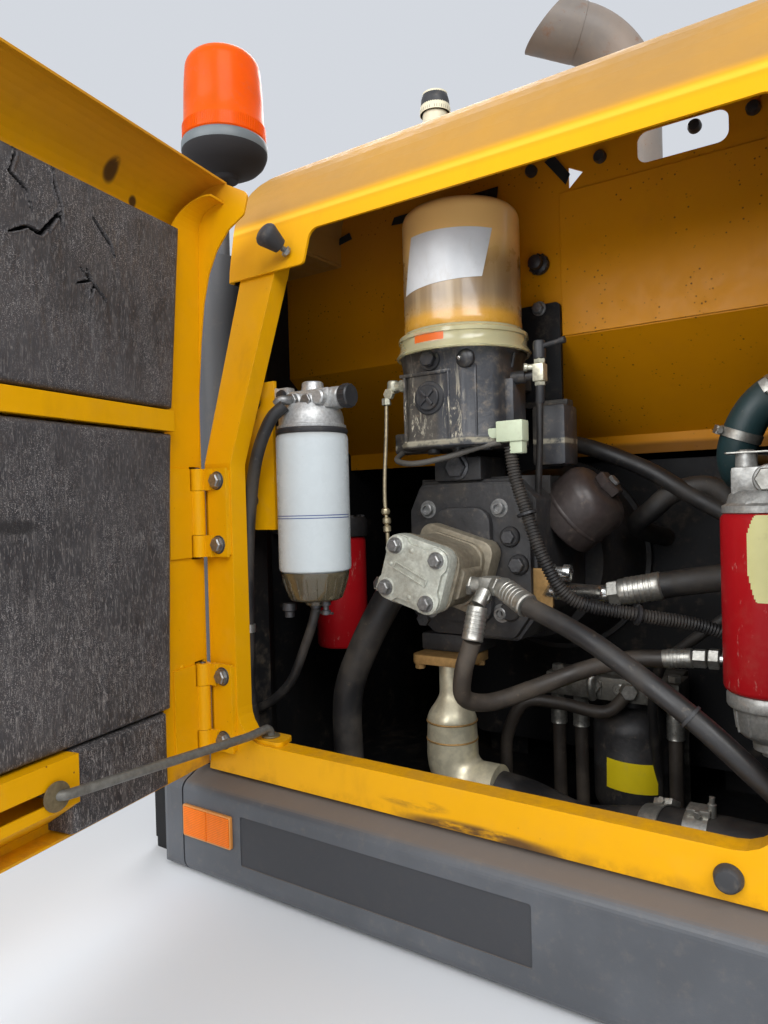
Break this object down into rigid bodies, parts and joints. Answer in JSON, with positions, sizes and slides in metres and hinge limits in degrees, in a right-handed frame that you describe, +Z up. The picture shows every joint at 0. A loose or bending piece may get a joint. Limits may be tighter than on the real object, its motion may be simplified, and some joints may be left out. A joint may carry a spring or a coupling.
{
  "type": "service bay of a wheeled excavator's upper structure, with hinged door",
  "caption": "Side pump bay of a wheeled excavator with its door hinged open, grease pump, filters, hydraulic pumps, hoses, beacon and exhaust stack.",
  "frame": {"origin": "centre of the deck plate's underside, in the middle of its four bolt holes, where the bay bolts to the slewing frame", "axes": "+Z up, -Y out through the door opening, +X along the bay's face away from the hinges"},
  "size_m": [0.976, 1.7248, 1.5341],
  "materials": {
    "yellow_paint": "gloss paint, worn along the edges",
    "dark_paint": "satin black, dusty",
    "grey_plastic": "moulded grey, dusty on top",
    "pillar_grey": "satin grey",
    "reflector": "orange prismatic",
    "beacon_lens": "clear orange",
    "black_rubber": "matt",
    "foam": "cracked sound-proofing foam with a film skin",
    "bare_steel": "zinc plated, dull",
    "alloy": "cast, grey",
    "cast_iron": "painted black, oily",
    "white_can": "gloss white, stained",
    "red_can": "gloss red",
    "smoke_bowl": "smoky clear",
    "clear_collar": "clear, yellowed",
    "amber_tank": "clear amber with grease behind",
    "gold_zinc": "yellow zinc plate",
    "brown_cast": "brown, matt",
    "exhaust_steel": "heat-tinted with light rust",
    "cream_plastic": "cream",
    "hose_rubber": "satin, dusty",
    "chrome": "mirror reflector"
  },
  "bodies": {
    "bay": {"deck_plate": "dark_paint", "door_frame": "yellow_paint", "roof_cap": "yellow_paint", "inner_panel": "yellow_paint", "hood_deck": "yellow_paint", "left_bulkhead": "dark_paint", "right_bulkhead": "dark_paint", "back_wall": "dark_paint", "skirt": "grey_plastic", "skirt_end": "grey_plastic", "skirt_reflector": "reflector", "corner_pillar": "pillar_grey", "beacon_base": "black_rubber", "beacon_lens": "beacon_lens", "hinge_frame_leaves": "yellow_paint", "stay_tab": "yellow_paint", "rubber_stops": "black_rubber", "filter_bracket": "yellow_paint", "filter_head": "alloy", "filter_can": "white_can", "filter_bowl": "smoke_bowl", "rear_filter": "red_can", "red_filter_head": "alloy", "red_filter_can": "red_can", "red_filter_base": "alloy", "grease_plate": "dark_paint", "grease_body": "cast_iron", "grease_collar": "clear_collar", "grease_reservoir": "amber_tank", "grease_fittings": "bare_steel", "main_pump": "cast_iron", "gear_pump_body": "alloy", "gear_pump_cover": "alloy", "hose_fittings": "bare_steel", "suction_flange": "gold_zinc", "suction_pipe": "gold_zinc", "pump_bell": "cast_iron", "engine_block": "cast_iron", "accumulator": "dark_paint", "valve_block": "cast_iron", "canister": "brown_cast", "exhaust_stack": "exhaust_steel", "breather": "cream_plastic", "filter_hoses": "hose_rubber", "feed_hose": "hose_rubber", "diagonal_hose": "hose_rubber", "loop_hose": "hose_rubber", "delivery_hoses": "hose_rubber", "accumulator_hoses": "hose_rubber", "sill_hose": "hose_rubber", "conduit": "hose_rubber"},
    "door": {"door_skin": "yellow_paint", "door_border": "yellow_paint", "door_foam": "foam", "door_hinge_leaves": "yellow_paint", "stay_rail": "yellow_paint"},
    "stay": {"stay_rod": "bare_steel"},
    "rotor": {"beacon_rotor": "chrome"}
  },
  "joints": [
    {"name": "door_hinge", "type": "hinge", "parent": "bay", "child": "door", "pos_m": [-0.316, -0.499, 0.35], "axis": [0, 0, 1], "range_deg": [0, 79.6]},
    {"name": "stay_pivot", "type": "hinge", "parent": "bay", "child": "stay", "pos_m": [-0.226, -0.462, 0.211], "axis": [0, 0, 1], "range_deg": [0, 90.7]},
    {"name": "beacon_spin", "type": "hinge", "parent": "bay", "child": "rotor", "pos_m": [-0.435, -0.312, 1.18], "axis": [0, 0, 1], "continuous": true}
  ],
  "couplings": [
    {"joint": "stay_pivot", "follows": "door_hinge", "ratio": 1.1386}
  ]
}
